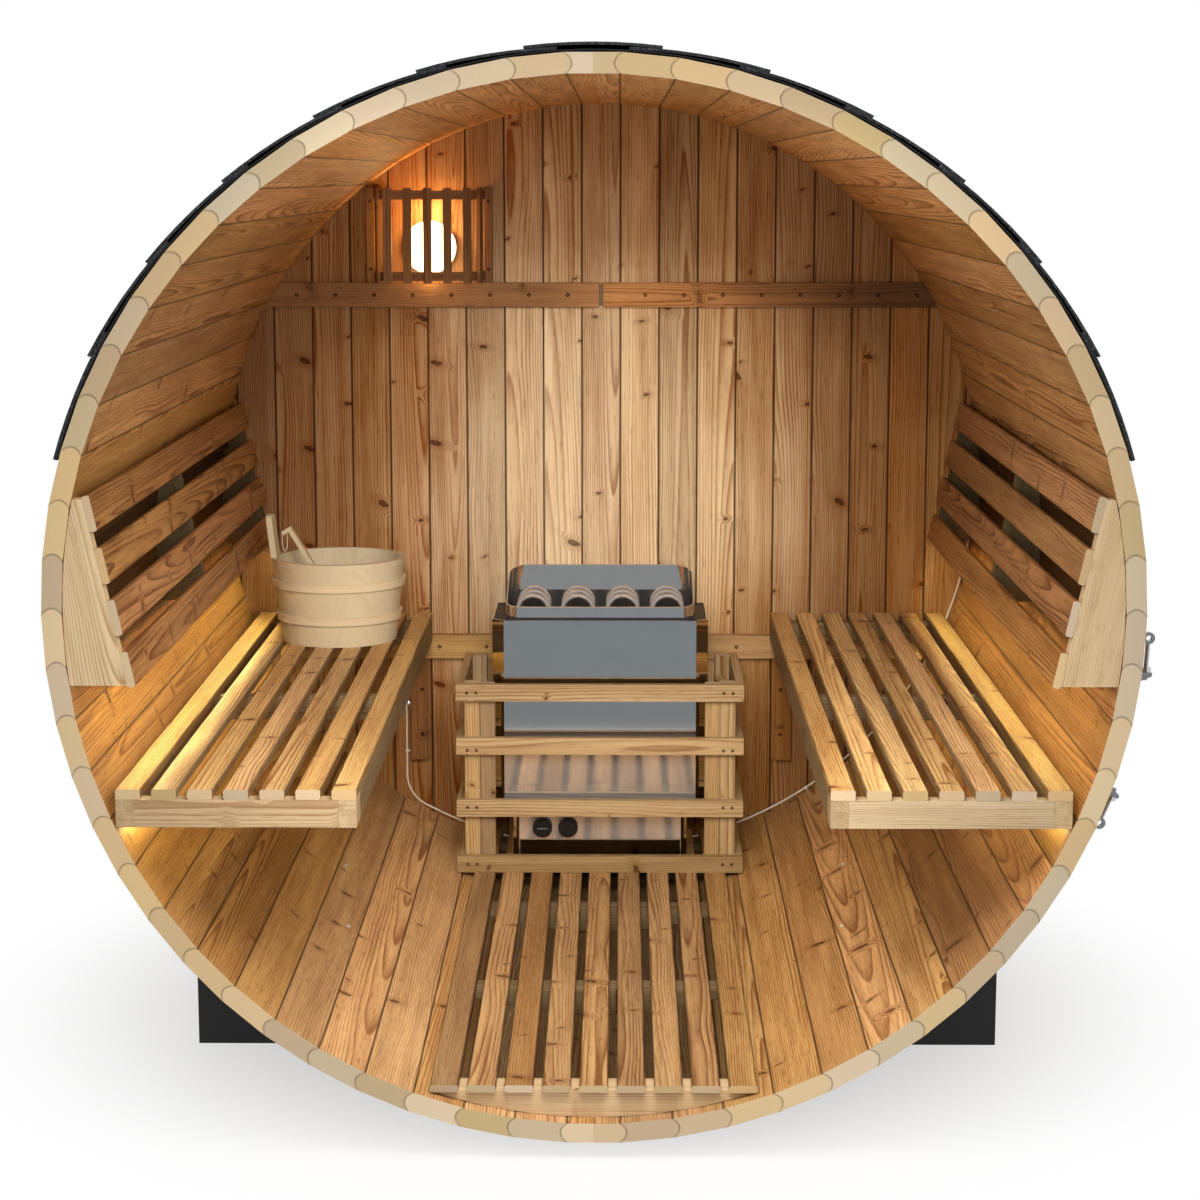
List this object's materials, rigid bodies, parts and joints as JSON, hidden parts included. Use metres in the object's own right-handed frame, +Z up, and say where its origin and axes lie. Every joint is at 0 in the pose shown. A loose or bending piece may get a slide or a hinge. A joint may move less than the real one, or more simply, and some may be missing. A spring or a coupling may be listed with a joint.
{
  "type": "barrel sauna",
  "caption": "Round barrel sauna of staves, open at its front, with slatted benches, backrests, duckboard floor, guarded electric heater, wall lamp and shingle roof.",
  "frame": {"origin": "on the ground below the middle of the barrel", "axes": "+Z up, +Y from the open front to the back wall along the barrel, +X to the right seen from the front"},
  "size_m": [1.8282, 1.88, 1.8461],
  "materials": {
    "shell_wood": "planed, unfinished",
    "wall_wood": "planed, unfinished",
    "board_wood": "planed, unfinished",
    "rib_wood": "planed, unfinished",
    "shade_wood": "planed, unfinished",
    "pail_wood": "turned, unfinished",
    "mirror_steel": "polished stainless sheet",
    "element_steel": "bright tube",
    "black_metal": "matt black",
    "knob_plastic": "matt black",
    "lamp_base_white": "white",
    "lamp_glass": "opal",
    "loop_cord": "twisted cord",
    "strip_white": "white, lit",
    "cable_white": "white sheath",
    "roof_felt": "matt felt",
    "roof_shingle": "mineral granules",
    "cradle_black": "matt black paint",
    "band_steel": "galvanised"
  },
  "bodies": {
    "sauna": {"floor_staves": "shell_wood", "left_wall_staves": "shell_wood", "right_wall_staves": "shell_wood", "roof_staves": "shell_wood", "back_wall": "wall_wood", "upper_wall_rails": "board_wood", "lower_wall_rail": "board_wood", "bench_cleats": "board_wood", "left_bench_slats": "board_wood", "left_bench_frame": "board_wood", "right_bench_slats": "board_wood", "right_bench_frame": "board_wood", "left_backrest_slats": "board_wood", "left_backrest_ribs": "rib_wood", "right_backrest_slats": "board_wood", "right_backrest_ribs": "rib_wood", "floor_joists": "board_wood", "floor_slats": "board_wood", "guard_front_rails": "board_wood", "guard_side_rails": "board_wood", "guard_posts": "board_wood", "heater_casing": "mirror_steel", "heater_top_plate": "black_metal", "heater_control_box": "mirror_steel", "heater_plinth": "mirror_steel", "stone_tray": "mirror_steel", "heating_elements": "element_steel", "lamp_base": "lamp_base_white", "lamp_globe": "lamp_glass", "lamp_shade_rails": "shade_wood", "lamp_shade_slats": "shade_wood", "lamp_shade_battens": "shade_wood", "pail": "pail_wood", "pail_hoops": "pail_wood", "ladle": "pail_wood", "ladle_loop": "loop_cord", "light_strips": "strip_white", "strip_cable": "cable_white", "roof_underlay": "roof_felt", "left_shingles": "roof_shingle", "right_shingles": "roof_shingle", "ridge_cap": "roof_shingle", "front_cradle": "cradle_black", "rear_cradle": "cradle_black", "steel_bands": "band_steel", "tension_straps": "band_steel", "eye_bolts": "band_steel", "band_nuts": "band_steel"},
    "timer_knob": {"timer_knob": "knob_plastic"},
    "thermostat_knob": {"thermostat_knob": "knob_plastic"}
  },
  "joints": [
    {"name": "timer_turn", "type": "hinge", "parent": "sauna", "child": "timer_knob", "pos_m": [-0.127, 0.478, 0.216], "axis": [0, 1, 0], "range_deg": [0, 300]},
    {"name": "thermostat_turn", "type": "hinge", "parent": "sauna", "child": "thermostat_knob", "pos_m": [-0.0705, 0.478, 0.216], "axis": [0, 1, 0], "range_deg": [0, 270]}
  ]
}
